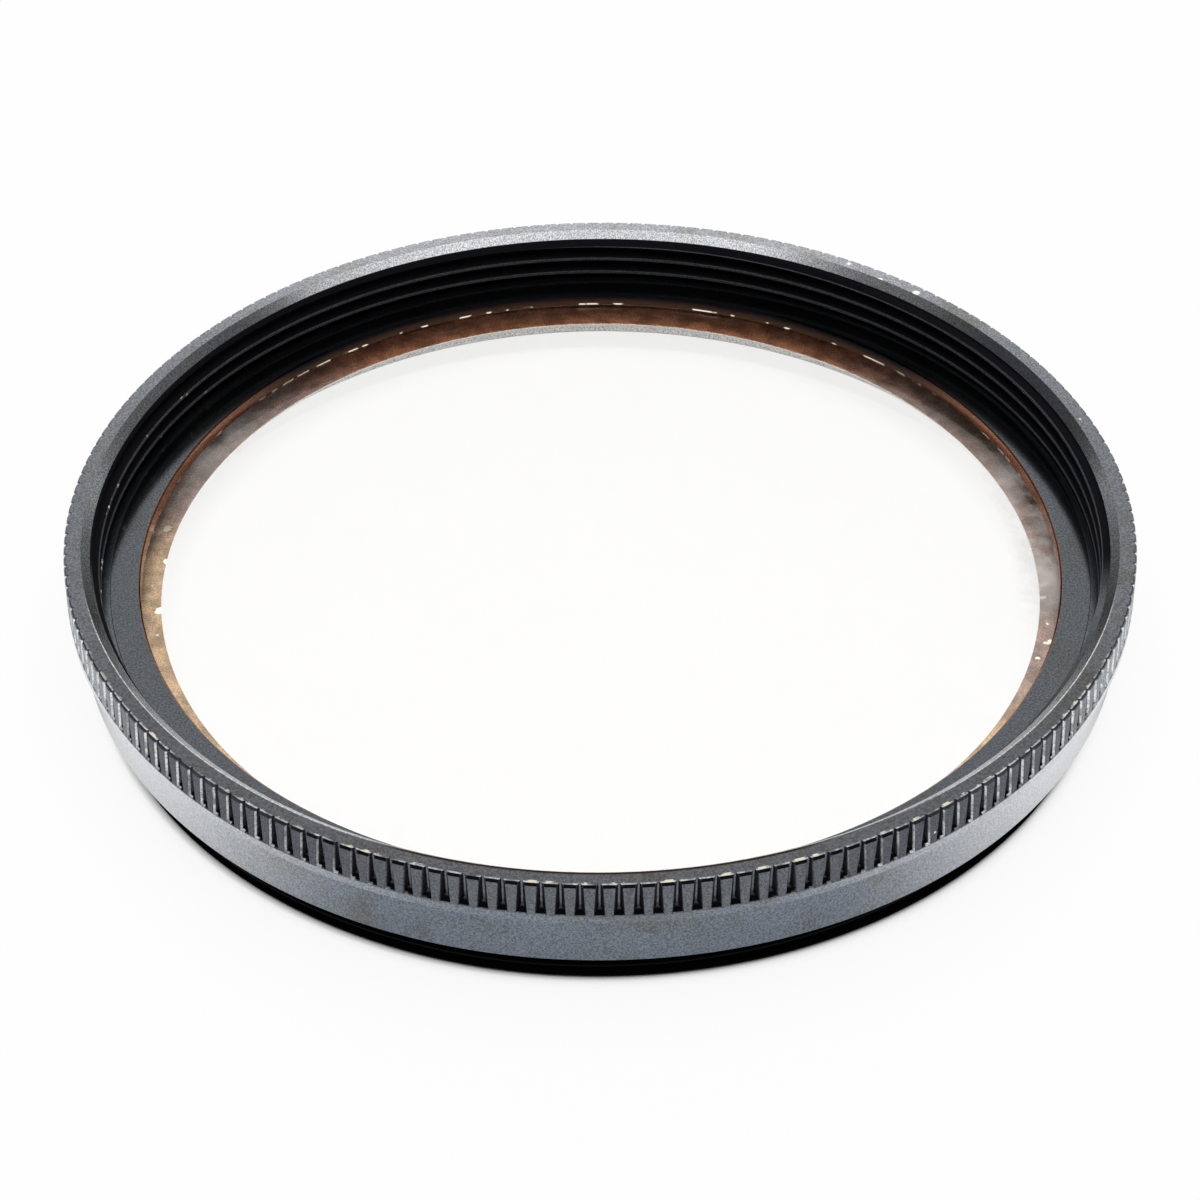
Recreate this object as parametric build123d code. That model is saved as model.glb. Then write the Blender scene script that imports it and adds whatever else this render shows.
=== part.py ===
"""Screw-in lens filter: a knurled ring with a glass disc held by a retaining ring.

Millimetres, +Z up along the ring's axis. The rear thread points down and ends at z = 0.
"""
import math
import os

from build123d import *

# Thread, the same size at the front and at the rear
thread_major_d = 43.0
thread_pitch = 0.75
thread_depth = 0.5413 * thread_pitch
rear_thread_length = 1.56
rear_end_chamfer = 0.10

# Outside of the ring, its radii counted outwards from the thread
overall_height = 5.8
collar_wall = 1.0
collar_height = 1.9
band_wall = 0.6

# Knurl: V grooves along the axis, open at the top, each ending in a ramp
groove_count = 200
groove_depth = 0.30
groove_floor_width = 0.09
groove_angle = 62.0
groove_length = 1.48
groove_ramp_height = 0.23

# Front thread bore, its lead-in and the relief where the thread runs out
mouth_margin = 0.23
relief_margin = 0.05
relief_top = 2.25
relief_height = 0.30

# Retaining ring, its radii counted inwards from the thread bore, and the glass under it
retainer_gap = 0.30
retainer_width = 1.25
retainer_height = 0.58
retainer_drop = 0.10
retainer_clearance = 0.02
retainer_grip = 0.05
retainer_overlap = 0.55
glass_thickness = 1.32
glass_clearance = 0.05
lip_width = 1.5
lip_thickness = 0.35

# Radii and levels that follow from the sizes above
thread_r = thread_major_d / 2
front_bore_r = thread_r - thread_depth
mouth_r = thread_r + mouth_margin
collar_r = thread_r + collar_wall
band_r = thread_r + band_wall
relief_r = thread_r + relief_margin
retainer_r = front_bore_r - retainer_gap
retainer_inner_r = retainer_r - retainer_width
retainer_seat_r = retainer_r + retainer_clearance
glass_r = retainer_r - retainer_overlap
pocket_r = glass_r + glass_clearance
aperture_r = pocket_r - lip_width
collar_z = overall_height - collar_height
lead_in_z = overall_height - (mouth_r - front_bore_r)
relief_top_z = overall_height - relief_top
relief_bottom_z = relief_top_z - relief_height
retainer_top_z = relief_top_z - retainer_drop
glass_top_z = retainer_top_z - retainer_height
lip_top_z = glass_top_z - glass_thickness
lip_bottom_z = lip_top_z - lip_thickness


def turned(points):
    """Revolve a closed outline of (radius, height) points about the axis."""
    outline = Polyline(*points, close=True)
    return revolve(make_face(Plane.XZ * outline), axis=Axis.Z)


def ring_blank():
    """The ring as it leaves the lathe, before the knurl is cut."""
    outside = [
        (pocket_r, 0),
        (thread_r - rear_end_chamfer, 0),
        (thread_r, rear_end_chamfer),
        (thread_r, rear_thread_length),
        (band_r, rear_thread_length),
        (band_r, collar_z),
        (collar_r, collar_z),
        (collar_r, overall_height),
    ]
    inside = [
        (mouth_r, overall_height),
        (front_bore_r, lead_in_z),
        (front_bore_r, relief_top_z),
        (relief_r, relief_top_z),
        (relief_r, relief_bottom_z),
        (retainer_seat_r, relief_bottom_z),
        (retainer_seat_r, glass_top_z - retainer_grip),
        (pocket_r, glass_top_z - retainer_grip),
        (pocket_r, lip_top_z),
        (aperture_r, lip_top_z),
        (aperture_r, lip_bottom_z),
        (pocket_r, lip_bottom_z),
    ]
    return turned(outside + inside)


def groove_cutter():
    """One knurl groove at azimuth 0: a V with a flat floor, its foot cut off by a ramp."""
    floor_r = collar_r - groove_depth
    open_r = collar_r + 0.2
    half_floor = groove_floor_width / 2
    half_open = half_floor + (open_r - floor_r) * math.tan(math.radians(groove_angle / 2))
    section = Polyline(
        (floor_r, -half_floor),
        (open_r, -half_open),
        (open_r, half_open),
        (floor_r, half_floor),
        close=True,
    )
    foot_z = overall_height - groove_length
    prism = extrude(Pos(0, 0, collar_z) * make_face(section), amount=collar_height + 0.5)
    foot = Plane(
        origin=(collar_r, 0, foot_z),
        x_dir=(0, 1, 0),
        z_dir=(groove_ramp_height, 0, groove_depth),
    )
    return split(prism, bisect_by=foot, keep=Keep.TOP)


def filter_ring():
    cutter = groove_cutter()
    grooves = [spot * cutter for spot in PolarLocations(0, groove_count)]
    return ring_blank() - grooves


def glass():
    """A flat disc resting on the ring's lip."""
    return turned([
        (0, lip_top_z),
        (glass_r, lip_top_z),
        (glass_r, glass_top_z),
        (0, glass_top_z),
    ])


def retaining_ring():
    """A flat ring seated on the glass."""
    return turned([
        (retainer_inner_r, glass_top_z),
        (retainer_r, glass_top_z),
        (retainer_r, retainer_top_z),
        (retainer_inner_r, retainer_top_z),
    ])


os.makedirs("parts", exist_ok=True)
export_step(filter_ring(), "parts/filter_ring.step")
export_step(glass(), "parts/glass.step")
export_step(retaining_ring(), "parts/retaining_ring.step")
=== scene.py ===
"""Looks of a screw-in lens filter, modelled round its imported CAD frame."""
import math

import bmesh
import bpy
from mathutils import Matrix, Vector


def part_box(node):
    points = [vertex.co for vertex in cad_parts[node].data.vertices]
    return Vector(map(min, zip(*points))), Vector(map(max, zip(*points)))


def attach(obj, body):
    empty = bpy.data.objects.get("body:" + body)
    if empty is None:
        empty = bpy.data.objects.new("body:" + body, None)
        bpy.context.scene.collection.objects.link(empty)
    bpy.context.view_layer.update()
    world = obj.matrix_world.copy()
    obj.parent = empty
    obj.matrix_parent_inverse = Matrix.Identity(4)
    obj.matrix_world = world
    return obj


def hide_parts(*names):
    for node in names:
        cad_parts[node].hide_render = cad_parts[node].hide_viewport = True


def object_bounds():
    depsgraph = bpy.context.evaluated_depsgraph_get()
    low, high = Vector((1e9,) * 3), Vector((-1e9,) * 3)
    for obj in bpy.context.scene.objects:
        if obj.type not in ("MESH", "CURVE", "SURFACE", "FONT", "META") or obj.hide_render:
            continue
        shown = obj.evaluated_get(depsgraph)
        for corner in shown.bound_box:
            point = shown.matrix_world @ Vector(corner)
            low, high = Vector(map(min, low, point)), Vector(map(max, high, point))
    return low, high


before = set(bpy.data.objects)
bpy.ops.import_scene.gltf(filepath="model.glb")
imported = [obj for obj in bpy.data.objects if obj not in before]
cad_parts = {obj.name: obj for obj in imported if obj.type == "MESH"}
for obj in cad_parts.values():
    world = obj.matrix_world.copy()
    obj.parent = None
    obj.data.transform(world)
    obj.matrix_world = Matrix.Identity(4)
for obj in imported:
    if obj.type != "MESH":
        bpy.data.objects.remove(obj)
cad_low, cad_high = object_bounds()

bl_info = {
    "name": "Screw-in Lens Filter",
    "version": (1, 0, 0),
    "blender": (4, 5, 0),
    "location": "View3D > Sidebar > Lens Filter",
    "description": "Models a knurled filter ring, its glass and its retaining ring",
    "category": "Object",
}

MM = 0.001
MERGE = 0.000001
FULL_TURN = 2 * math.pi
SMOOTH_ANGLE = math.radians(28)
SENSOR_WIDTH_MM = 36.0
GLASS_LOW, GLASS_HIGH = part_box("glass")
RETAINER_LOW, RETAINER_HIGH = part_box("retaining_ring")

# Arcs round the ring: strength, from, to and softness, in degrees from the front, + to the right
# Arcs of a lighter line along the mouth's edge
MOUTH_LIGHTENED = ((1.0, -70.0, -22.0, 5.0), (1.0, 34.0, 70.0, 6.0))
# Painted reflection: arcs where the lead-in cone is laid lighter at the sides
LEAD_IN_SHEEN_ARCS = ((0.38, -126.0, -68.0, 8.0), (0.32, 68.0, 96.0, 8.0))
CREST_FLECKED = ((1.0, -118.0, -80.0, 6.0),)
# Painted glints on the copper lip
LIP_GLINTED = ((1.0, -98.0, -50.0, 6.0), (1.0, 60.0, 84.0, 6.0))
RIM_GILDED = ((1.0, 134.0, 154.0, 3.0),)
# Painted shadow: grey laid on the glass in two arcs
GLASS_SHADOWED = ((0.35, -124.0, -104.0, 10.0), (1.0, 80.0, 108.0, 8.0))

# Fades by degrees from the front, alike on both sides: nothing at the first, all at the second
# Painted shade: the chamfer over the lands laid black at the front
CHAMFER_SHADED = ((52.0, 26.0),)
GROOVES_LIT = ((14.0, 32.0), (120.0, 95.0))
# Painted light: the thread's first turn laid less black at the sides
FIRST_TURN_LIT = ((42.0, 54.0), (82.0, 70.0))
# Painted shade: the lead-in cone laid darker towards the front
LEAD_IN_SHADED = ((74.0, 60.0),)
LEAD_IN_SHADED_MORE = ((56.0, 44.0),)
# Painted reflection: the lead-in cone laid lighter at the back
LEAD_IN_SHEEN_BACK = ((122.0, 140.0),)
# Painted reflection: the band, the strip and the lands laid lighter towards the sides, where they mirror
# the bright table
BAND_SHEEN = ((20.0, 62.0), (77.0, 61.0))
BAND_SHEEN_FAR = ((60.0, 75.0),)
STRIP_SHEEN = ((8.0, 66.0), (96.0, 72.0))
LANDS_SHEEN = ((47.0, 65.0), (99.0, 81.0))
# Painted shade: the lands laid darker towards the sides
LANDS_SHADED = ((12.0, 30.0),)
# Painted highlight along the rim's worn outer edge, at the front only
RIM_HIGHLIGHTED = ((72.0, 52.0),)
RIM_DASHED = ((66.0, 50.0),)
# Painted shade: the rim laid darker at the front
RIM_SHADED_FRONT = ((78.0, 52.0),)
# Painted reflection: the rim laid lighter at the back
RIM_SHEEN_BACK = ((126.0, 150.0),)
MOUTH_STAINED = ((24.0, 18.0),)
# Painted shade: the lip laid darker at the back
LIP_SHADED_BACK = ((126.0, 150.0),)
OPENING_BARE = ((135.0, 105.0), (25.0, 45.0))

# A fade by degrees from the front, + to the right
LIP_GOLDEN = ((-106.0, -90.0), (70.0, 52.0))

# Radii in millimetres between which the painted shadow on the glass sets in
GLASS_SHADOW_RADII = (17.5, 18.7)


def length(label, text, millimetres):
    """A length property whose default is given in millimetres."""
    return bpy.props.FloatProperty(
        name=label, description=text, default=millimetres * MM, unit="LENGTH", precision=5
    )


def colour(label, text, rgb):
    """A colour property, in linear light."""
    return bpy.props.FloatVectorProperty(
        name=label, description=text, default=rgb, subtype="COLOR", size=3, min=0, max=1
    )


def angle(label, text, degrees):
    """An angle property whose default is given in degrees."""
    return bpy.props.FloatProperty(
        name=label, description=text, default=math.radians(degrees), subtype="ANGLE"
    )


def power(label, text, watts):
    """A lamp's power."""
    return bpy.props.FloatProperty(name=label, description=text, default=watts, unit="POWER")


def share(label, text, part):
    """A part of a whole."""
    return bpy.props.FloatProperty(name=label, description=text, default=part, subtype="FACTOR")


class RingSizes(bpy.types.PropertyGroup):
    """Sizes of the turned ring, its threads and its knurl."""

    height: length("Height", "From the rear thread's end to the front rim", cad_high.z / MM)
    collar_r: length("Collar radius", "Outside radius of the knurl at its foot", cad_high.x / MM)
    collar_height: length("Collar height", "From the step above the band to the front rim", 1.9)
    collar_lean: length("Collar lean", "How much the knurl narrows towards the front", 0.06)
    collar_edge: length("Collar edge", "Break of the collar's lower edge", 0.08)
    rim_edge: length("Rim edge", "Break between the knurl and the front rim", 0.09)
    band_r: length("Band radius", "Radius of the smooth band", 22.1)
    band_edge: length("Band edge", "Break of the band's lower edge", 0.06)
    thread_r: length("Thread radius", "Major radius of both threads", 21.5)
    pitch: length("Pitch", "Pitch of both threads", 0.75)
    thread_depth: length("Thread depth", "Height of a thread's ridge", 0.406)
    ridge_sink: length("Ridge sink", "How far a thread's ridge is sunk in its wall", 0.03)
    rear_length: length("Rear thread length", "From the thread's end to the band", 1.56)
    rear_edge: length("Rear edge", "Break of the rear thread's end", 0.1)
    rear_land: length("Rear land", "Plain height behind the rear thread's break", 0.06)
    rear_taper: length("Rear taper", "Height from the rear thread's break to where its root begins", 0.2)
    rear_root: length("Rear root", "How much deeper the rear thread's root is than its ridge is high", 0.05)
    rear_gap: length("Rear gap", "From the rear thread's last turn to the band", 0.12)
    mouth_r: length("Mouth radius", "Where the lead-in meets the front rim", 21.73)
    lead_in: length("Lead-in", "Depth of the plain cone above the front thread", 0.34)
    run_in: length("Run-in", "Height of the step from the lead-in to the thread's root", 0.06)
    front_gap: length("Front gap", "From the lead-in to the front thread's first turn", 0.02)
    relief_top: length("Relief depth", "From the front rim to the thread's relief", 2.25)
    relief_r: length("Relief radius", "Radius of the thread's relief", 21.55)
    relief_edge: length("Relief edge", "Break between the thread and its relief", 0.05)
    shoulder: length("Shoulder depth", "From the front rim to the relief's floor", 2.36)
    seat_r: length("Seat radius", "Bore that takes the retaining ring", 20.8)
    seat_drop: length("Seat drop", "From the glass's front face down to the seat's floor", 0.05)
    pocket_r: length("Pocket radius", "Bore that takes the glass", 20.294)
    aperture_r: length("Aperture radius", "Clear opening in the lip", 18.794)
    lip: length("Lip thickness", "Thickness of the lip under the glass", 0.35)
    lip_edge: length("Lip edge", "Straight part of the lip's edge", 0.06)
    lip_bevel: length("Lip bevel", "Width of the bevel under the lip", 0.25)
    bore_edge: length("Bore edge", "Break of the rear bore's edge", 0.1)
    grooves: bpy.props.IntProperty(
        name="Grooves", description="Grooves round the collar", default=200, min=12
    )
    groove_depth: length("Groove depth", "Depth of a groove at its foot", 0.3)
    groove_floor: length("Groove floor", "Width of a groove's floor", 0.07)
    groove_angle: angle("Groove angle", "Angle between a groove's walls", 62)
    groove_length: length("Groove length", "From the front rim to a groove's foot", 1.48)
    groove_ramp: length("Groove ramp", "Height of the ramp at a groove's foot", 0.23)
    groove_lean: length("Groove lean", "How much a groove's floor leans out towards the front", 0.08)
    groove_edge: length("Groove edge", "Rounding of a groove's upper edges", 0.04)
    groove_turn: angle("Groove turn", "Where the first groove stands round the ring", -0.2)
    slice_drop: length("Slice drop", "From a groove's foot to the lower end of the knurl's slices", 0.14)


class DiscSizes(bpy.types.PropertyGroup):
    """Sizes of the glass and of the ring that holds it."""

    glass_r: length("Glass radius", "Outside radius of the glass", GLASS_HIGH.x / MM)
    glass_bevel: length("Glass bevel", "Ground bevel on both edges of the glass", 0.12)
    retainer_r: length("Retainer radius", "Outside radius of the ring", RETAINER_HIGH.x / MM)
    retainer_inner_r: length("Retainer opening", "Inside radius of the ring", 19.544)
    retainer_edge: length("Retainer edge", "Break of the ring's inner edge", 0.06)
    retainer_joint: length("Retainer joint", "Break of the ring's outer edge", 0.015)
    film: length("Film", "Hairline between the glass and the metal", 0.006)


class FinishColours(bpy.types.PropertyGroup):
    """Colours of the finishes, in linear light."""

    satin: colour("Satin", "Charcoal finish of the turned faces", (0.22, 0.23, 0.25))
    band: colour("Band", "The same finish, bluer, round the outside", (0.19, 0.216, 0.26))
    # Pale colour laid as painted sheen, painted reflection and painted highlights, by angle from the front,
    # and along the mouth's edge
    sheen: colour("Rubbed", "The same finish where hands have polished it", (0.95, 0.97, 1.0))
    land: colour("Land", "The same finish, duller, on the knurl's lands", (0.165, 0.18, 0.2))
    # Painted shade: the grooves' walls are laid darker than the lands
    groove: colour("Groove", "The same finish, darker, on the grooves' walls", (0.075, 0.078, 0.095))
    tarnish: colour("Tarnish", "Olive stains in the finish", (0.13, 0.13, 0.085))
    # Painted shade on the front of the rim, fading out towards the sides
    rim_shade: colour("Stain", "Dark stain on the front rim", (0.085, 0.08, 0.082))
    # Painted shade: black laid in both threads, on the groove ramps, on the front chamfer and at the top of
    # the retaining ring's opening
    recess_shade: colour("Recess", "Black left in the threads and round the lands", (0.004, 0.004, 0.006))
    # Also laid as painted glints on the lip and on the retaining ring's lower inner edge
    brass: colour("Brass", "Bare metal at the worn edges", (1.0, 0.94, 0.78))
    copper: colour("Copper", "Bare metal of the lip under the glass", (0.42, 0.29, 0.17))
    rose: colour("Rose", "The same metal, duller and pinker, at the sides", (0.3, 0.21, 0.175))
    # Darker copper: on the lip it is painted shade at the back; round the retaining ring's opening it is
    # the sides' colour
    dark_copper: colour("Dull copper", "The same metal, tarnished, at the back", (0.36, 0.16, 0.09))
    umber: colour("Umber", "Brown metal at the retaining ring's opening", (0.045, 0.024, 0.016))
    pale: colour("Pale", "Clean metal of the bore behind the lip", (0.92, 0.9, 0.87))
    glass: colour("Glass", "Tint of the glass", (0.99, 0.985, 0.975))
    # Painted shadow: grey laid on the glass in two arcs, where the ring's shadow on the table shows through
    glass_shadow: colour("Smear", "Grey film on the glass", (0.66, 0.65, 0.63))
    floor: colour("Floor", "Pale table", (0.9, 0.9, 0.9))


class StudioSettings(bpy.types.PropertyGroup):
    """Camera of the photograph and the light round the filter."""

    distance: length("Distance", "From the camera to the middle of the front rim", 112.0)
    elevation: angle("Elevation", "Angle of the camera's view over the table's plane", 37.7)
    roll: angle("Roll", "Turn of the camera about its view", -0.25)
    lens: bpy.props.FloatProperty(
        name="Lens", description="Focal length on a 36 mm sensor", default=79.4, unit="CAMERA"
    )
    shift: bpy.props.FloatProperty(
        name="Shift", description="Upright shift of the frame", default=-0.082
    )
    sky: bpy.props.FloatProperty(
        name="Sky", description="Strength of the light from all round", default=0.15
    )
    key: power("Key", "Power of the lamp overhead", 1.15)
    wall: power("Wall", "Power of the low light at the back", 0.25)
    panel: power("Panel", "Power of the dim panel at the back", 0.14)
    fill: power("Fill", "Power of the softbox over the camera", 0.3)
    table_white: share("Table white", "How far the table is plain white to the camera", 0.92)
    table_glare: share("Table glare", "How far the table is plain white in reflections", 0.25)
    table_through: share("Table through glass", "How far the table is plain white through glass", 0.9)
    contact: length("Contact", "Reach of the shadow round the filter's foot", 0.6)


class Value:
    """A shader socket; arithmetic on it adds Math nodes."""

    def __init__(self, book, socket):
        self.book = book
        self.socket = socket

    def __add__(self, other):
        return self.book.math("ADD", self, other)

    def __sub__(self, other):
        return self.book.math("SUBTRACT", self, other)

    def __rsub__(self, other):
        return self.book.math("SUBTRACT", other, self)

    def __mul__(self, other):
        return self.book.math("MULTIPLY", self, other)

    __radd__ = __add__
    __rmul__ = __mul__


class NodeBook:
    """Adds nodes to one node tree."""

    def __init__(self, tree):
        self.tree = tree
        tree.nodes.clear()

    def node(self, kind, settings=None, sockets=None, output=0):
        """One node: its settings first, then its sockets; gives one output, or a list for a tuple."""
        made = self.tree.nodes.new(kind)
        for key, setting in (settings or {}).items():
            setattr(made, key, setting)
        for key, item in (sockets or {}).items():
            if isinstance(item, Value):
                self.tree.links.new(item.socket, made.inputs[key])
            else:
                made.inputs[key].default_value = item
        if isinstance(output, tuple):
            return [Value(self, made.outputs[item]) for item in output]
        return Value(self, made.outputs[output]) if made.outputs else made

    def math(self, operation, first, second=0.0):
        return self.node("ShaderNodeMath", {"operation": operation}, {0: first, 1: second})

    def largest(self, first, *others):
        for other in others:
            first = self.math("MAXIMUM", first, other)
        return first

    def smooth(self, value, low, high):
        """0 at low and 1 at high; the other way round where low is the larger."""
        return self.node(
            "ShaderNodeMapRange",
            {"interpolation_type": "SMOOTHSTEP"},
            {"Value": value, "From Min": low, "From Max": high},
        )

    def fade(self, value, ramps):
        """Smooth steps, each from a low and a high, times each other."""
        made = self.smooth(value, *ramps[0])
        for ramp in ramps[1:]:
            made = made * self.smooth(value, *ramp)
        return made

    def between(self, value, low, high, soft):
        return self.fade(value, ((low - soft, low + soft), (high + soft, high - soft)))

    def arcs(self, turn, places):
        """The strength of each arc on it, and 0 between the arcs."""
        return sum(strength * self.between(turn, *place) for strength, *place in places)

    def blend(self, factor, first, second, way="MIX"):
        """A colour between two colours, or one colour times another."""
        return self.node(
            "ShaderNodeMix",
            {"data_type": "RGBA", "blend_type": way},
            {0: factor, 6: self.rgba(first), 7: self.rgba(second)},
            output=2,
        )

    def coats(self, tone, *layers):
        """A colour with coats laid over it in turn, each a factor and a colour."""
        for factor, coat in layers:
            tone = self.blend(factor, tone, coat)
        return tone

    @staticmethod
    def rgba(item):
        return item if isinstance(item, Value) else (*tuple(item), 1.0)

    def place(self):
        """The piece's own coordinates."""
        return self.node("ShaderNodeTexCoord", output="Object")

    def noise(self, scale, detail=2.0):
        """Noise over the piece's own coordinates, scale in patches a metre."""
        return self.node(
            "ShaderNodeTexNoise", None, {"Vector": self.place(), "Scale": scale, "Detail": detail}
        )

    def specks(self, scale, chance, size):
        """Dots in some cells of a pattern: scale in cells a metre, size as a part of a cell."""
        near, tint = self.node(
            "ShaderNodeTexVoronoi",
            None,
            {"Vector": self.place(), "Scale": scale},
            output=("Distance", "Color"),
        )
        draw = self.node("ShaderNodeSeparateColor", None, {0: tint}, output="Red")
        return self.smooth(near, 2 * size, size) * self.smooth(draw, 1.0 - chance, 1.0 - chance + 0.02)

    def dust(self):
        return self.specks(800.0, 0.2, 0.03)

    def grained(self, tone):
        """A colour broken up by the fine grain of the finish."""
        grain = self.smooth(self.noise(13000.0), 0.25, 0.75)
        return self.blend(1.0, tone, grain * 0.8 + 0.6, "MULTIPLY")

    def bumped(self, strength):
        """The grain's relief."""
        return self.node(
            "ShaderNodeBump",
            None,
            {"Strength": strength, "Distance": 0.03 * MM, "Height": self.noise(9000.0)},
        )

    def polar(self):
        """Radius and height in millimetres, and the angle round the ring in degrees from the front."""
        x, y, z = self.node("ShaderNodeSeparateXYZ", None, {0: self.place()}, output=("X", "Y", "Z"))
        radius = self.math("SQRT", x * x + y * y) * (1 / MM)
        turn = self.math("ARCTAN2", x, y * -1.0) * math.degrees(1)
        return radius, z * (1 / MM), turn

    def finish(self, shader):
        self.node("ShaderNodeOutputMaterial", None, {"Surface": shader})


def new_material(name):
    material = bpy.data.materials.new(name)
    material.use_nodes = True
    return material, NodeBook(material.node_tree)


class RingPlaces:
    """Masks of the turned ring's places: 1 in its place and 0 elsewhere, lengths in millimetres."""

    def __init__(self, book, sizes):
        self.book = book
        self.radius, self.height, self.turn = book.polar()
        self.side = book.math("ABSOLUTE", self.turn)
        self.top = sizes.height / MM
        self.foot = self.top - sizes.groove_length / MM
        self.band_r = sizes.band_r / MM
        self.mouth_r = sizes.mouth_r / MM
        self.rim_r = (sizes.collar_r - sizes.collar_lean - sizes.rim_edge) / MM
        self.rim = book.smooth(self.height, self.top - 0.006, self.top - 0.002)
        self.mark_knurl(sizes)
        self.mark_bore(sizes)
        self.mark_outside(sizes)
        # Painted shade: black on the groove ramps, the front chamfer and both threads
        self.recess_shade = book.largest(self.foot_ramp, self.chamfer, self.thread, self.rear)

    def mark_knurl(self, sizes):
        """The lands, the grooves between them and the broken edge over them, with the painted shade of the
        front chamfer and the painted highlight on the grooves' outward walls.
        """
        book = self.book
        height = self.height
        top = self.top
        foot = self.foot
        collar_r = sizes.collar_r / MM
        lean = sizes.collar_lean / sizes.groove_length
        half_pitch = 180.0 / sizes.grooves
        from_groove = self.turn - math.degrees(sizes.groove_turn)
        off_groove = book.math("PINGPONG", from_groove, half_pitch) * math.radians(collar_r)
        across = book.math("FRACT", from_groove * (0.5 / half_pitch) + 0.5) - 0.5
        outward = across * book.math("SIGN", self.turn)
        sunk = (collar_r + lean * foot) - lean * height - self.radius
        knurl = book.smooth(height, foot - 0.02, foot + 0.02) * (1.0 - self.rim)
        knurl = knurl * book.smooth(self.radius, self.band_r, self.band_r + 0.04)
        off_edge = book.math("ABSOLUTE", self.radius + height - (self.rim_r + top))
        edge = knurl * book.smooth(off_edge, 0.03, 0.02) * book.smooth(height, top - 0.1, top - 0.09)
        self.off_groove = off_groove
        # Painted shade: the chamfer over the lands is laid black at the front, fading out towards the sides
        self.chamfer = edge * book.smooth(off_groove, 0.1, 0.13) * book.fade(self.side, CHAMFER_SHADED)
        self.groove = knurl * book.smooth(sunk, 0.03, 0.06) * (1.0 - self.chamfer)
        floor = book.smooth(off_groove, 0.05, 0.03) * book.smooth(height, foot + 0.2, foot + 0.3)
        self.groove_floor = self.groove * floor
        # Painted shade: black on the ramp at each groove's foot
        self.foot_ramp = self.groove * book.smooth(height, foot + 0.2, foot + 0.14)
        self.land = knurl * (1.0 - self.groove) * (1.0 - self.chamfer)
        lit = knurl * book.between(sunk, 0.01, 0.09, 0.006) * book.smooth(outward, 0.0, 0.03)
        lit = lit * book.smooth(height, top - 0.1, top - 0.13)
        self.lit_edge = lit * book.fade(self.side, GROOVES_LIT)

    def mark_bore(self, sizes):
        """The lead-in, the front thread, the ledge under it and the lip."""
        book = self.book
        height = self.height
        lead_in_z = self.top - sizes.lead_in / MM
        shoulder_z = self.top - sizes.shoulder / MM
        lip_top = GLASS_LOW.z / MM
        crest_r = (sizes.thread_r - sizes.thread_depth) / MM
        pocket_r = sizes.pocket_r / MM
        rear_z = sizes.rear_length / MM
        cone = book.smooth(self.radius, self.mouth_r + 0.005, self.mouth_r - 0.005) * (1.0 - self.rim)
        self.cone = cone * book.smooth(height, lead_in_z, lead_in_z + 0.02)
        bore = book.smooth(self.radius, self.mouth_r - 0.03, self.mouth_r - 0.13)
        thread = bore * book.smooth(height, shoulder_z + 0.005, shoulder_z + 0.012)
        thread = thread * book.smooth(height, lead_in_z + 0.005, lead_in_z - 0.01)
        self.crest = thread * book.smooth(self.radius, crest_r + 0.036, crest_r + 0.016)
        # Painted light: the thread's first turn at the sides gets less of the painted shade, as if light
        # falls on it
        first_turn = thread * book.smooth(height, self.top - 0.9, self.top - 0.8)
        self.lit_first_turn = first_turn * book.fade(self.side, FIRST_TURN_LIT)
        # Painted shade: the threads are laid black, less so on the first turn at the sides
        self.thread = thread * (1.0 - 0.85 * self.lit_first_turn)
        beyond_pocket = book.smooth(self.radius, pocket_r + 0.066, pocket_r + 0.106)
        self.ledge = bore * beyond_pocket * book.between(height, shoulder_z - 0.04, shoulder_z + 0.02, 0.01)
        self.rear = book.smooth(height, rear_z + 0.02, rear_z - 0.02) * beyond_pocket
        self.inside = book.smooth(self.radius, pocket_r + 0.066, pocket_r + 0.026)
        self.lip = self.inside * book.smooth(height, lip_top - 0.05, lip_top - 0.04)

    def mark_outside(self, sizes):
        """The smooth band and the plain strip under the knurl."""
        book = self.book
        rear_z = sizes.rear_length / MM
        collar_z = self.top - sizes.collar_height / MM
        outside = book.smooth(self.height, rear_z, rear_z + 0.04) * (1.0 - self.rim)
        self.outside = outside * book.smooth(self.radius, self.band_r - 0.2, self.band_r - 0.1)
        self.strip = self.outside * book.between(self.height, collar_z - 0.02, self.foot, 0.02)
        self.band = self.outside * book.smooth(self.height, collar_z + 0.02, collar_z - 0.02)

    def painted_sheen(self):
        """How much painted reflection the band, the strip and the lands get: laid lighter towards the
        sides, by angle from the front, where they mirror the bright table.
        """
        book = self.book
        band = book.fade(self.side, BAND_SHEEN) + 0.12 * book.fade(self.side, BAND_SHEEN_FAR)
        strip = 0.03 + 0.85 * book.fade(self.side, STRIP_SHEEN)
        land = 0.35 * book.fade(self.side, LANDS_SHEEN)
        return self.band * band + self.strip * strip + self.land * land

    def bare_spots_and_glints(self, scuffs):
        """Where bare metal shows, and painted glints: dashes on the rim, flecks on the thread, painted
        glints on the lip, and dust.
        """
        book = self.book
        dashes = self.rim * book.between(self.radius, self.rim_r - 0.13, self.rim_r + 0.02, 0.02)
        dashes = dashes * book.smooth(self.off_groove, 0.1, 0.2) * book.smooth(scuffs, 0.55, 0.62)
        dashes = dashes * book.fade(self.side, RIM_DASHED)
        gilt = self.rim * book.specks(1400.0, 0.5, 0.16) * book.arcs(self.turn, RIM_GILDED)
        flecks = self.crest * book.smooth(scuffs, 0.63, 0.68) * book.arcs(self.turn, CREST_FLECKED)
        # Painted glints: white-gold specks on the lip in two arcs
        glints = self.lip * book.smooth(book.noise(1300.0), 0.65, 0.69) * book.arcs(self.turn, LIP_GLINTED)
        dust = book.dust() * (1.0 - self.recess_shade) * (1.0 - self.inside)
        return book.largest(dashes, gilt, flecks, glints, dust)


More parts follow.
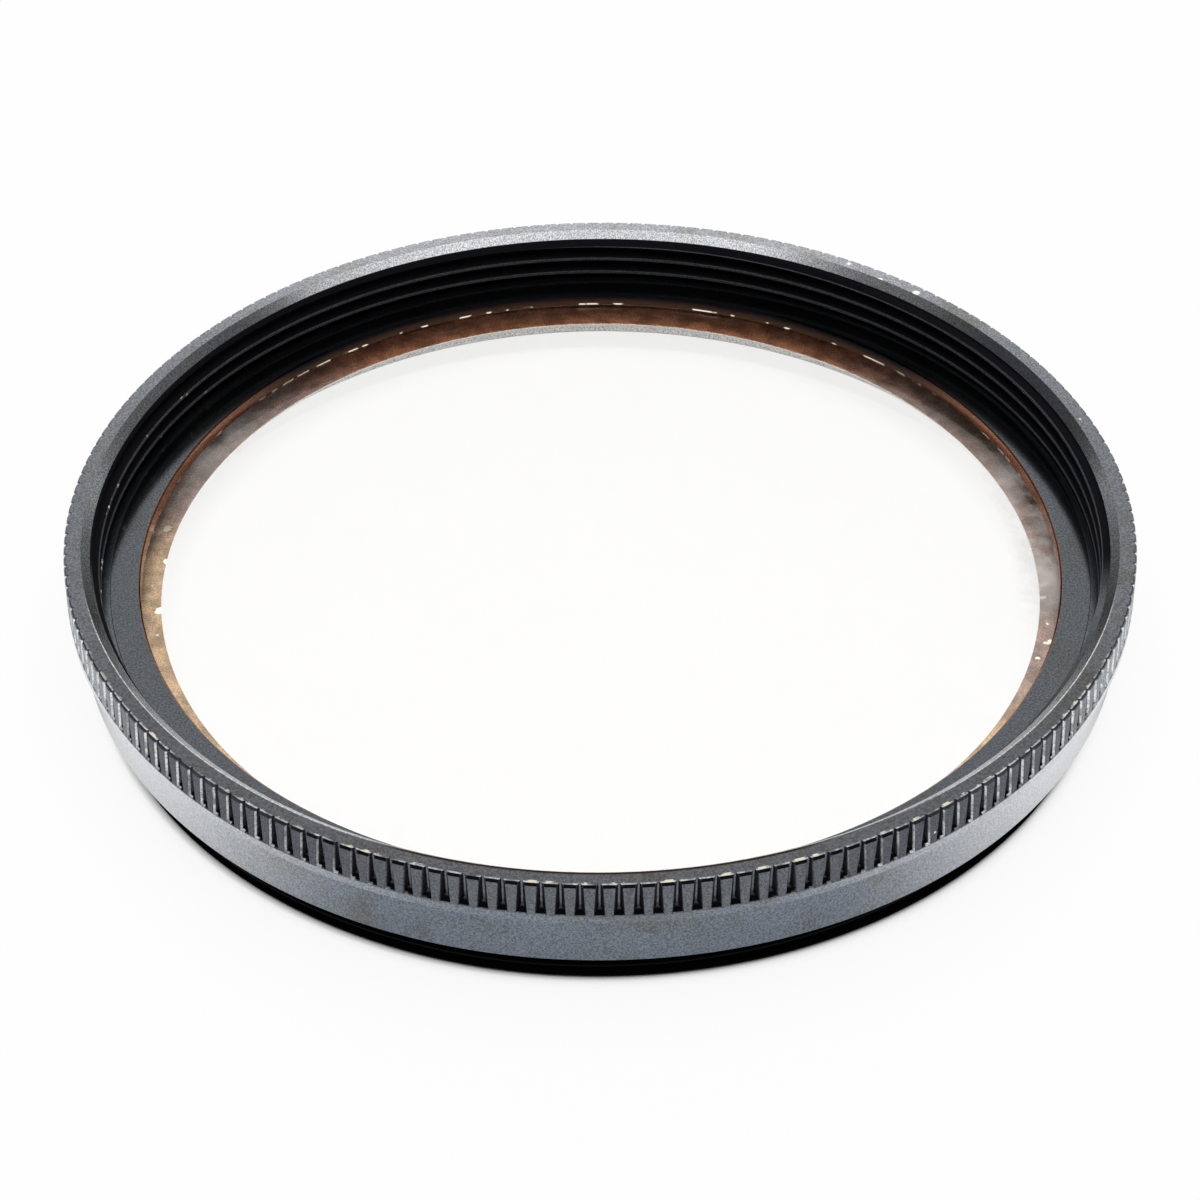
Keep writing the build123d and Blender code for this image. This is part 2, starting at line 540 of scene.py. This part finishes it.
def satin_material(colours, sizes):
    """Charcoal finish, duller on the lands, worn at the edges, with painted shade black in the threads,
    grooves and front chamfer, and painted sheen and highlights by angle from the front.
    """
    material, book = new_material("worn_charcoal_finish")
    ring = RingPlaces(book, sizes)
    side = ring.side
    patches = book.noise(420.0, 3.0)
    scuffs = book.noise(1500.0)
    # Painted reflection on the band, the strip and the lands towards the sides
    sheen = ring.painted_sheen()
    # Painted shade: the lands laid darker towards the sides
    shaded_land = book.blend(book.fade(side, LANDS_SHADED) * 0.5, colours.land, colours.groove)
    # Painted shade: groove walls darker than the lands, their floor line lighter
    groove = book.blend(ring.groove_floor, colours.groove, colours.land)
    # Painted highlight along the rim's worn outer edge, at the front only
    edge_highlight = ring.rim * book.between(ring.radius, ring.rim_r - 0.07, ring.rim_r + 0.01, 0.02)
    edge_highlight = edge_highlight * book.fade(side, RIM_HIGHLIGHTED) * book.smooth(scuffs, 0.35, 0.6)
    # Painted shade: the lead-in cone laid darker towards the front
    cone_shade = 0.5 * book.fade(side, LEAD_IN_SHADED) + 0.5 * book.fade(side, LEAD_IN_SHADED_MORE)
    # Painted reflection: the lead-in cone lighter at the back and in arcs at the sides
    cone_sheen = 0.45 * book.fade(side, LEAD_IN_SHEEN_BACK) + book.arcs(ring.turn, LEAD_IN_SHEEN_ARCS)
    lit_edge = ring.lit_edge * (0.35 + 0.6 * book.smooth(scuffs, 0.35, 0.55))
    # A lighter line along the mouth's edge, in two arcs
    mouth_line = ring.rim * book.smooth(ring.radius, ring.mouth_r + 0.06, ring.mouth_r + 0.03)
    mouth_line = mouth_line * book.arcs(ring.turn, MOUTH_LIGHTENED)
    mouth_stain = ring.rim * book.smooth(ring.radius, ring.mouth_r + 0.14, ring.mouth_r + 0.06)
    mouth_stain = mouth_stain * book.fade(side, MOUTH_STAINED)
    bare = book.coats(
        colours.rose,
        (book.fade(ring.turn, LIP_GOLDEN), colours.copper),
        # Painted shade: the lip darker at the back, where the ring's wall shades it
        (book.fade(side, LIP_SHADED_BACK), colours.dark_copper),
    )
    mottled = book.blend(1.0, bare, book.smooth(scuffs, 0.3, 0.7) * 0.6 + 0.7, "MULTIPLY")
    tone = book.coats(
        colours.satin,
        (ring.outside, colours.band),
        (book.smooth(patches, 0.5, 0.7) * 0.5, colours.tarnish),
        # Painted shade on the rim's front
        (ring.rim * book.fade(side, RIM_SHADED_FRONT) * 0.45, colours.rim_shade),
        (book.largest(ring.ledge, ring.lit_first_turn), colours.land),
        (ring.land, shaded_land),
        (ring.groove, groove),
        (sheen, colours.sheen),
        (edge_highlight * 0.7, colours.sheen),
        (ring.cone * cone_shade, colours.groove),
        (ring.cone * cone_sheen, colours.sheen),
        # Painted reflection: the rim laid lighter at the back
        (ring.rim * book.fade(side, RIM_SHEEN_BACK) * 0.12, colours.sheen),
        # Painted shade: black in the threads, on the groove ramps and on the front chamfer
        (ring.recess_shade, colours.recess_shade),
        (ring.crest * 0.3, colours.satin),
        (lit_edge, colours.sheen),
        (mouth_line * 0.75, colours.sheen),
        (mouth_stain, colours.umber),
        (ring.inside, colours.pale),
        (ring.lip, mottled),
    )
    tone = book.blend(sheen * 0.7, book.grained(tone), tone)
    rough = 0.19 + 0.08 * patches + 0.2 * ring.land + 0.1 * ring.groove
    rough = rough + 0.06 * ring.outside + 0.4 * ring.recess_shade + 0.25 * ring.lip
    shader = book.node(
        "ShaderNodeBsdfPrincipled",
        None,
        {
            "Base Color": book.blend(ring.bare_spots_and_glints(scuffs), tone, colours.brass),
            "Metallic": 1.0 - 0.9 * ring.recess_shade,
            "Roughness": rough,
            "Specular IOR Level": 0.05,
            "Normal": book.bumped(0.08),
        },
    )
    book.finish(shader)
    return material


def retainer_material(colours, sizes):
    """Satin charcoal, worn through to brown metal round the opening, with painted shade at the opening's
    top and painted glints along its lower inner edge.
    """
    material, book = new_material("satin_charcoal_finish")
    radius, height, turn = book.polar()
    side = book.math("ABSOLUTE", turn)
    opening = sizes.retainer_inner_r / MM
    low = RETAINER_LOW.z / MM
    patches = book.noise(420.0, 3.0)
    bare = book.smooth(radius, opening + 0.1, opening + 0.05)
    # Painted glints: brass-white dashes along the opening's lower edge, where it meets the glass
    glint = bare * book.smooth(height, low + 0.1, low + 0.05)
    glint = glint * book.smooth(book.noise(1400.0, 1.0), 0.56, 0.62)
    dust = book.dust() * (1.0 - bare)
    # The opening's wall: black painted shade at its top, umber lower down, and darker copper at the sides
    brown = book.coats(
        colours.recess_shade,
        (book.smooth(height, low + 0.5, low + 0.1), colours.umber),
        (book.fade(side, OPENING_BARE), colours.dark_copper),
    )
    tone = book.coats(
        colours.land,
        (book.smooth(patches, 0.5, 0.7) * 0.3, colours.tarnish),
        (bare, brown),
    )
    shader = book.node(
        "ShaderNodeBsdfPrincipled",
        None,
        {
            "Base Color": book.blend(book.largest(glint, dust), book.grained(tone), colours.brass),
            "Metallic": 1.0,
            "Roughness": 0.12 + 0.06 * patches,
            "Normal": book.bumped(0.05),
        },
    )
    book.finish(shader)
    return material


def glass_material(colours):
    """Clear glass with a painted grey shadow in two places near its edge."""
    material, book = new_material("clear_filter_glass")
    radius, height, turn = book.polar()
    face_z = GLASS_HIGH.z / MM
    # Painted shadow: grey laid on the glass near its edge, where the table's shade shows through
    film = book.arcs(turn, GLASS_SHADOWED) * book.smooth(radius, *GLASS_SHADOW_RADII)
    film = film * book.smooth(height, face_z - 0.1, face_z - 0.05)
    film = film * book.smooth(book.noise(500.0, 3.0), 0.3, 0.6) * 0.55
    clear = book.node(
        "ShaderNodeBsdfPrincipled",
        None,
        {"Base Color": (*colours.glass, 1.0), "Roughness": 0.0, "IOR": 1.5, "Transmission Weight": 1.0},
    )
    grey = book.node("ShaderNodeBsdfDiffuse", None, {"Color": (*colours.glass_shadow, 1.0)})
    book.finish(book.node("ShaderNodeMixShader", None, {0: film, 1: clear, 2: grey}))
    return material


def deselect_all():
    if bpy.context.mode != "OBJECT":
        bpy.ops.object.mode_set(mode="OBJECT")
    bpy.ops.object.select_all(action="DESELECT")


def pick(*pieces):
    """Select these pieces and no others; the first becomes the active one."""
    deselect_all()
    for piece in pieces:
        piece.select_set(True)
    bpy.context.view_layer.objects.active = pieces[0]


def ring_point(radius, height, azimuth=0.0):
    return Vector((radius * math.cos(azimuth), radius * math.sin(azimuth), height))


def draw_outline(name, points, closed=False):
    """A new piece whose mesh is one line of edges, drawn by extruding a vertex from point to point."""
    deselect_all()
    bpy.ops.mesh.primitive_plane_add(size=MM, location=(0, 0, 0))
    piece = bpy.context.object
    piece.name = name
    piece.data.name = name
    bpy.ops.object.mode_set(mode="EDIT")
    bpy.ops.mesh.select_all(action="SELECT")
    bpy.ops.mesh.merge(type="CENTER")
    bpy.ops.transform.translate(value=points[0])
    for before, after in zip(points, points[1:]):
        bpy.ops.mesh.extrude_region_move(TRANSFORM_OT_translate={"value": after - before})
    if closed:
        bpy.ops.mesh.extrude_region_move(TRANSFORM_OT_translate={"value": points[0] - points[-1]})
        bpy.ops.mesh.select_all(action="SELECT")
        bpy.ops.mesh.remove_doubles(threshold=MERGE)
    bpy.ops.mesh.select_all(action="SELECT")
    return piece


def close_mesh():
    """Merge what coincides and turn all faces outwards."""
    bpy.ops.mesh.select_all(action="SELECT")
    bpy.ops.mesh.remove_doubles(threshold=MERGE)
    bpy.ops.mesh.normals_make_consistent(inside=False)
    bpy.ops.object.mode_set(mode="OBJECT")


def spin_round(steps, turn, copies=False):
    """Spin the selection anticlockwise about the ring's axis; the operator itself turns clockwise."""
    bpy.ops.mesh.spin(
        steps=steps, angle=turn, dupli=copies, center=(0, 0, 0), axis=(0, 0, -1)
    )


def turn_piece(name, outline, steps, closed, start=0.0):
    """A turned piece: an outline of (radius, height) spun about the axis."""
    piece = draw_outline(name, [ring_point(r, z, start) for r, z in outline], closed)
    spin_round(steps, FULL_TURN)
    close_mesh()
    return piece


def select_where(piece, kind, test):
    """Select the edges or faces of the edited piece that pass a test; raises if none does."""
    mesh = bmesh.from_edit_mesh(piece.data)
    bpy.ops.mesh.select_all(action="DESELECT")
    chosen = [item for item in getattr(mesh, kind) if test(item)]
    if not chosen:
        raise RuntimeError(f"{piece.name}: none of the {kind} looked for")
    for item in chosen:
        item.select_set(True)
    mesh.select_flush_mode()
    bmesh.update_edit_mesh(piece.data)


def azimuth_of(vertex):
    return math.atan2(vertex.co.y, vertex.co.x)


def radius_of(vertex):
    return vertex.co.xy.length


def groove_cutter(sizes, middle):
    """A wedge the shape of one groove: narrow inside, wide outside, its underside a ramp."""
    overhang = 0.2 * MM
    reach = 2 * MM
    floor_r = sizes.collar_r - sizes.groove_depth
    open_r = sizes.collar_r + overhang
    foot_z = sizes.height - sizes.groove_length
    inner_z = foot_z + sizes.groove_ramp
    outer_z = foot_z - overhang * sizes.groove_ramp / sizes.groove_depth
    half_floor = sizes.groove_floor / 2
    half_open = half_floor + (open_r - floor_r) * math.tan(sizes.groove_angle / 2)
    along = ring_point(1, 0, middle)
    across = ring_point(1, 0, middle + FULL_TURN / 4)
    corners = [
        (floor_r, -half_floor, inner_z),
        (open_r, -half_open, outer_z),
        (open_r, half_open, outer_z),
        (floor_r, half_floor, inner_z),
    ]
    points = [along * r + across * side + Vector((0, 0, z)) for r, side, z in corners]
    cutter = draw_outline("groove_cutter", points, closed=True)
    bpy.ops.mesh.edge_face_add()
    rise = Vector((0, 0, reach)) + along * sizes.groove_lean * (reach / sizes.groove_length)
    bpy.ops.mesh.extrude_region_move(TRANSFORM_OT_translate={"value": rise})
    close_mesh()
    return cutter


def collar_slice(sizes, start, step, strip_z):
    """One groove's share of the front rim and the knurl, before the groove is cut."""
    top = sizes.height
    lean_r = sizes.collar_r - sizes.collar_lean
    outline = [
        (sizes.mouth_r, top),
        (lean_r - sizes.rim_edge, top),
        (lean_r, top - sizes.rim_edge),
        (sizes.collar_r, top - sizes.groove_length),
        (sizes.collar_r, strip_z),
        (sizes.mouth_r, strip_z),
    ]
    piece = draw_outline("knurl", [ring_point(r, z, start) for r, z in outline], closed=True)
    bpy.ops.mesh.edge_face_add()
    spin_round(2, step)
    close_mesh()
    turned_to = sum(azimuth_of(vertex) for vertex in piece.data.vertices) / len(piece.data.vertices)
    if abs(turned_to - start - step / 2) > step / 4:
        raise RuntimeError("the collar's slice was spun the wrong way")
    return piece


def cut_away(piece, cutter):
    """Cut one piece's shape out of another, and remove the cutter."""
    pick(piece)
    cut = piece.modifiers.new("groove", "BOOLEAN")
    cut.object = cutter
    cut.operation = "DIFFERENCE"
    cut.solver = "EXACT"
    bpy.ops.object.modifier_apply(modifier=cut.name)
    bpy.data.objects.remove(cutter)


def open_slice(piece, sizes, start, step, strip_z):
    """Delete the slice's lower, inner and end faces, where it joins the ring and its neighbours."""
    slack_r = 0.02 * MM
    slack_turn = step * 0.01

    def hidden(face):
        turns = [azimuth_of(vertex) - start for vertex in face.verts]
        flat_low = all(abs(vertex.co.z - strip_z) < MERGE for vertex in face.verts)
        flat_in = all(abs(radius_of(vertex) - sizes.mouth_r) < slack_r for vertex in face.verts)
        at_start = all(abs(turn) < slack_turn for turn in turns)
        at_end = all(abs(turn - step) < slack_turn for turn in turns)
        return flat_low or flat_in or at_start or at_end

    select_where(piece, "faces", hidden)
    bpy.ops.mesh.delete(type="FACE")


def round_groove(piece, sizes, middle):
    """Round the edges between the slice's groove and the faces round it."""
    along = ring_point(1, 0, middle)
    across = ring_point(1, 0, middle + FULL_TURN / 4)
    ramp_below = sizes.height - 1 * MM
    above_floor_r = sizes.collar_r - sizes.groove_depth + 0.03 * MM

    def groove_face(face):
        sunk = max(radius_of(vertex) for vertex in face.verts) < sizes.collar_r + MERGE
        wall = abs(face.normal.dot(across)) > 0.4
        ramp = min(face.normal.z, face.normal.dot(along)) > 0.3
        return sunk and (wall or (ramp and face.calc_center_median().z < ramp_below))

    def groove_rim(edge):
        faces = edge.link_faces
        if len(faces) != 2 or groove_face(faces[0]) == groove_face(faces[1]):
            return False
        return edge.calc_face_angle() > 0.3 and all(radius_of(v) > above_floor_r for v in edge.verts)

    select_where(piece, "edges", groove_rim)
    bpy.ops.mesh.bevel(offset=sizes.groove_edge, segments=2, affect="EDGES", clamp_overlap=True)


def knurled_collar(sizes, start, step, strip_z):
    """The front rim and the knurl: one groove is cut in a slice of the collar, then copied round."""
    middle = start + step / 2
    collar = collar_slice(sizes, start, step, strip_z)
    cut_away(collar, groove_cutter(sizes, middle))
    bpy.ops.object.mode_set(mode="EDIT")
    open_slice(collar, sizes, start, step, strip_z)
    round_groove(collar, sizes, middle)
    bpy.ops.mesh.select_all(action="SELECT")
    bpy.ops.mesh.remove_doubles(threshold=MERGE)
    bpy.ops.mesh.select_all(action="SELECT")
    spin_round(sizes.grooves - 1, FULL_TURN - step, copies=True)
    close_mesh()
    return collar


def thread_ridge(name, sizes, base_r, crest_r, crest_width, low_z, high_z):
    """A screw thread's ridge: its section wound round the axis, then cut level at both ends."""
    pitch = sizes.pitch
    base_width = 0.875 * pitch
    turns = math.ceil((high_z - low_z) / pitch) + 2
    z = low_z - pitch
    section = [
        (base_r, z - base_width / 2),
        (crest_r, z - crest_width / 2),
        (crest_r, z + crest_width / 2),
        (base_r, z + base_width / 2),
    ]
    ridge = draw_outline(name, [ring_point(r, h) for r, h in section], closed=True)
    bpy.ops.object.mode_set(mode="OBJECT")
    screw = ridge.modifiers.new("winding", "SCREW")
    screw.axis = "Z"
    screw.angle = FULL_TURN
    screw.screw_offset = pitch
    screw.iterations = turns
    screw.steps = sizes.grooves
    screw.render_steps = sizes.grooves
    screw.use_merge_vertices = False
    bpy.ops.object.modifier_apply(modifier=screw.name)
    bpy.ops.object.mode_set(mode="EDIT")
    for place, side in ((low_z, "clear_inner"), (high_z, "clear_outer")):
        bpy.ops.mesh.select_all(action="SELECT")
        bpy.ops.mesh.bisect(
            plane_co=(0, 0, place),
            plane_no=(0, 0, 1),
            use_fill=True,
            threshold=MERGE / 10,
            **{side: True},
        )
    close_mesh()
    return ridge


def front_thread(sizes):
    """The female thread's ridge, its first turn cut back to the lead-in cone."""
    top = sizes.height
    ridge = thread_ridge(
        "front_thread",
        sizes,
        sizes.thread_r + sizes.ridge_sink,
        sizes.thread_r - sizes.thread_depth,
        sizes.pitch / 6,
        top - sizes.relief_top,
        top - sizes.lead_in - sizes.front_gap,
    )
    for vertex in ridge.data.vertices:
        cone_r = sizes.mouth_r - (top - vertex.co.z)
        reach = radius_of(vertex)
        if reach < cone_r:
            vertex.co.xy *= cone_r / reach
    return ridge


def rear_thread(sizes, root_r):
    """The male thread's ridge."""
    return thread_ridge(
        "rear_thread",
        sizes,
        root_r - sizes.ridge_sink,
        sizes.thread_r,
        sizes.pitch / 8,
        sizes.rear_edge,
        sizes.rear_length - sizes.rear_gap,
    )


def ring_body(sizes, root_r, start, strip_z):
    """The ring as it is turned, open where the knurled collar joins it."""
    top = sizes.height
    lead_in_z = top - sizes.lead_in
    relief_z = top - sizes.relief_top
    shoulder_z = top - sizes.shoulder
    collar_z = top - sizes.collar_height
    seat_z = GLASS_HIGH.z - sizes.seat_drop
    lip_top = GLASS_LOW.z
    lip_bottom = lip_top - sizes.lip
    outline = [
        (sizes.mouth_r, top),
        (sizes.mouth_r - sizes.lead_in, lead_in_z),
        (sizes.thread_r, lead_in_z - sizes.run_in),
        (sizes.thread_r, relief_z),
        (sizes.relief_r, relief_z - sizes.relief_edge),
        (sizes.relief_r, shoulder_z),
        (sizes.seat_r, shoulder_z),
        (sizes.seat_r, seat_z),
        (sizes.pocket_r, seat_z),
        (sizes.pocket_r, lip_top),
        (sizes.aperture_r, lip_top),
        (sizes.aperture_r, lip_top - sizes.lip_edge),
        (sizes.aperture_r + sizes.lip_bevel, lip_bottom),
        (sizes.pocket_r, lip_bottom),
        (sizes.pocket_r, sizes.bore_edge),
        (sizes.pocket_r + sizes.bore_edge, 0),
        (sizes.thread_r - sizes.rear_edge, 0),
        (sizes.thread_r, sizes.rear_edge),
        (sizes.thread_r, sizes.rear_edge + sizes.rear_land),
        (root_r, sizes.rear_edge + sizes.rear_taper),
        (root_r, sizes.rear_length),
        (sizes.band_r - sizes.band_edge, sizes.rear_length),
        (sizes.band_r, sizes.rear_length + sizes.band_edge),
        (sizes.band_r, collar_z),
        (sizes.collar_r - sizes.collar_edge, collar_z),
        (sizes.collar_r, collar_z + sizes.collar_edge),
        (sizes.collar_r, strip_z),
    ]
    return turn_piece("knurled_ring", outline, 2 * sizes.grooves, closed=False, start=start)


def join_pieces(main, *others):
    pick(main, *others)
    bpy.ops.object.join()


def dress(piece, material, node):
    """Shade a finished piece and let it stand for its CAD node."""
    pick(piece)
    bpy.ops.object.shade_smooth_by_angle(angle=SMOOTH_ANGLE)
    piece.data.materials.clear()
    piece.data.materials.append(material)
    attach(piece, "root")
    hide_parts(node)


class LENSFILTER_OT_ring(bpy.types.Operator):
    """Model the turned ring with its knurl and threads"""

    bl_idname = "lensfilter.ring"
    bl_label = "Filter Ring"

    def execute(self, context):
        sizes = context.scene.filter_ring_sizes
        step = FULL_TURN / sizes.grooves
        start = sizes.groove_turn - step / 2
        strip_z = sizes.height - sizes.groove_length - sizes.slice_drop
        root_r = sizes.thread_r - sizes.thread_depth - sizes.rear_root
        body = ring_body(sizes, root_r, start, strip_z)
        join_pieces(body, knurled_collar(sizes, start, step, strip_z))
        bpy.ops.object.mode_set(mode="EDIT")
        close_mesh()
        join_pieces(body, front_thread(sizes), rear_thread(sizes, root_r))
        dress(body, satin_material(context.scene.filter_finishes, sizes), "filter_ring")
        return {"FINISHED"}


class LENSFILTER_OT_glass(bpy.types.Operator):
    """Model the round glass with its ground edges"""

    bl_idname = "lensfilter.glass"
    bl_label = "Filter Glass"

    def execute(self, context):
        sizes = context.scene.filter_disc_sizes
        low = GLASS_LOW.z + sizes.film
        high = GLASS_HIGH.z - sizes.film
        bevel = sizes.glass_bevel
        outline = [
            (0, low),
            (sizes.glass_r - bevel, low),
            (sizes.glass_r, low + bevel),
            (sizes.glass_r, high - bevel),
            (sizes.glass_r - bevel, high),
            (0, high),
        ]
        steps = context.scene.filter_ring_sizes.grooves
        piece = turn_piece("filter_glass", outline, steps, closed=False)
        dress(piece, glass_material(context.scene.filter_finishes), "glass")
        piece.visible_shadow = False
        return {"FINISHED"}


class LENSFILTER_OT_retainer(bpy.types.Operator):
    """Model the flat ring that holds the glass"""

    bl_idname = "lensfilter.retainer"
    bl_label = "Retaining Ring"

    def execute(self, context):
        sizes = context.scene.filter_disc_sizes
        low = RETAINER_LOW.z
        high = RETAINER_HIGH.z
        edge = sizes.retainer_edge
        outline = [
            (sizes.retainer_inner_r, low),
            (sizes.retainer_r, low),
            (sizes.retainer_r, high - sizes.retainer_joint),
            (sizes.retainer_r - sizes.retainer_joint, high),
            (sizes.retainer_inner_r + edge, high),
            (sizes.retainer_inner_r, high - edge),
        ]
        steps = context.scene.filter_ring_sizes.grooves
        piece = turn_piece("glass_retainer", outline, steps, closed=True)
        finishes = context.scene.filter_finishes
        dress(piece, retainer_material(finishes, sizes), "retaining_ring")
        return {"FINISHED"}


class LENSFILTER_OT_stage(bpy.types.Operator):
    """Set the table, the light and the camera"""

    bl_idname = "lensfilter.stage"
    bl_label = "Stage"

    def execute(self, context):
        self.table(context)
        self.sky(context)
        self.lamps(context)
        self.camera(context)
        context.scene.view_settings.view_transform = "Standard"
        return {"FINISHED"}

    def table(self, context):
        studio = context.scene.filter_studio
        deselect_all()
        bpy.ops.mesh.primitive_plane_add(size=1.2, location=(0, 0, 0))
        floor = context.object
        floor.name = "table"
        material, book = new_material("pale_table")
        direct, glossy, through = book.node(
            "ShaderNodeLightPath", output=("Is Camera Ray", "Is Glossy Ray", "Is Transmission Ray")
        )
        open_sky = book.node(
            "ShaderNodeAmbientOcclusion", {"samples": 3}, {"Distance": studio.contact}, output="AO"
        )
        seen = book.largest(
            direct * book.smooth(open_sky, 0.4, 0.95) * studio.table_white,
            glossy * studio.table_glare,
            through * studio.table_through,
        )
        pale = (*context.scene.filter_finishes.floor, 1.0)
        lit = book.node("ShaderNodeBsdfDiffuse", None, {"Color": pale})
        white = book.node("ShaderNodeEmission", None, {"Color": (1, 1, 1, 1), "Strength": 1.0})
        book.finish(book.node("ShaderNodeMixShader", None, {0: seen, 1: lit, 2: white}))
        floor.data.materials.append(material)

    def sky(self, context):
        world = bpy.data.worlds.new("soft_studio")
        context.scene.world = world
        world.use_nodes = True
        book = NodeBook(world.node_tree)
        light = book.node(
            "ShaderNodeBackground",
            None,
            {"Color": (1, 1, 1, 1), "Strength": context.scene.filter_studio.sky},
        )
        book.node("ShaderNodeOutputWorld", None, {"Surface": light})

    def lamps(self, context):
        """Each lamp by its name, place, width and depth in metres, and power."""
        studio = context.scene.filter_studio
        for name, place, size, watts in (
            ("overhead_softbox", (0, 0.03, 0.385), (0.34, 0.34), studio.key),
            ("back_wall_light", (0, 0.35, 0.165), (0.6, 0.09), studio.wall),
            ("back_panel_light", (0, 0.35, 0.31), (0.34, 0.26), studio.panel),
            ("camera_softbox", (0.08, -0.13, 0.33), (0.58, 0.2), studio.fill),
        ):
            deselect_all()
            bpy.ops.object.light_add(type="AREA", location=place)
            lamp = context.object
            lamp.name = name
            lamp.data.energy = watts
            lamp.data.shape = "RECTANGLE"
            lamp.data.size, lamp.data.size_y = size
            aim = Vector((place[0], 0, 0)) - Vector(place)
            lamp.rotation_euler = aim.to_track_quat("-Z", "Y").to_euler()

    def camera(self, context):
        studio = context.scene.filter_studio
        middle = Vector((0, 0, context.scene.filter_ring_sizes.height))
        back = Vector((0, -math.cos(studio.elevation), math.sin(studio.elevation)))
        deselect_all()
        bpy.ops.object.camera_add(location=middle + back * studio.distance)
        camera = context.object
        camera.name = "photo_camera"
        camera.rotation_euler = (-back).to_track_quat("-Z", "Y").to_euler()
        camera.rotation_euler.rotate_axis("Z", studio.roll)
        camera.data.lens = studio.lens
        camera.data.sensor_width = SENSOR_WIDTH_MM
        camera.data.shift_y = studio.shift
        camera.data.clip_start = 0.01
        camera.data.clip_end = 10.0
        context.scene.camera = camera


class LENSFILTER_PT_panel(bpy.types.Panel):
    """Lists the filter's sizes and builders"""

    bl_idname = "LENSFILTER_PT_panel"
    bl_label = "Screw-in Lens Filter"
    bl_space_type = "VIEW_3D"
    bl_region_type = "UI"
    bl_category = "Lens Filter"

    def draw(self, context):
        layout = self.layout
        for group in ("filter_ring_sizes", "filter_disc_sizes", "filter_finishes", "filter_studio"):
            column = layout.column(align=True)
            settings = getattr(context.scene, group)
            for key in settings.__annotations__:
                column.prop(settings, key)
        for operator in OPERATORS:
            layout.operator(operator.bl_idname)


OPERATORS = (
    LENSFILTER_OT_ring,
    LENSFILTER_OT_glass,
    LENSFILTER_OT_retainer,
    LENSFILTER_OT_stage,
)
CLASSES = (
    RingSizes,
    DiscSizes,
    FinishColours,
    StudioSettings,
    *OPERATORS,
    LENSFILTER_PT_panel,
)


def register():
    for item in CLASSES:
        bpy.utils.register_class(item)
    scene = bpy.types.Scene
    scene.filter_ring_sizes = bpy.props.PointerProperty(type=RingSizes)
    scene.filter_disc_sizes = bpy.props.PointerProperty(type=DiscSizes)
    scene.filter_finishes = bpy.props.PointerProperty(type=FinishColours)
    scene.filter_studio = bpy.props.PointerProperty(type=StudioSettings)


def unregister():
    scene = bpy.types.Scene
    del scene.filter_studio
    del scene.filter_finishes
    del scene.filter_disc_sizes
    del scene.filter_ring_sizes
    for item in reversed(CLASSES):
        bpy.utils.unregister_class(item)


def main():
    register()
    bpy.ops.lensfilter.ring()
    bpy.ops.lensfilter.glass()
    bpy.ops.lensfilter.retainer()
    bpy.ops.lensfilter.stage()
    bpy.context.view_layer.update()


if __name__ == "__main__":
    main()
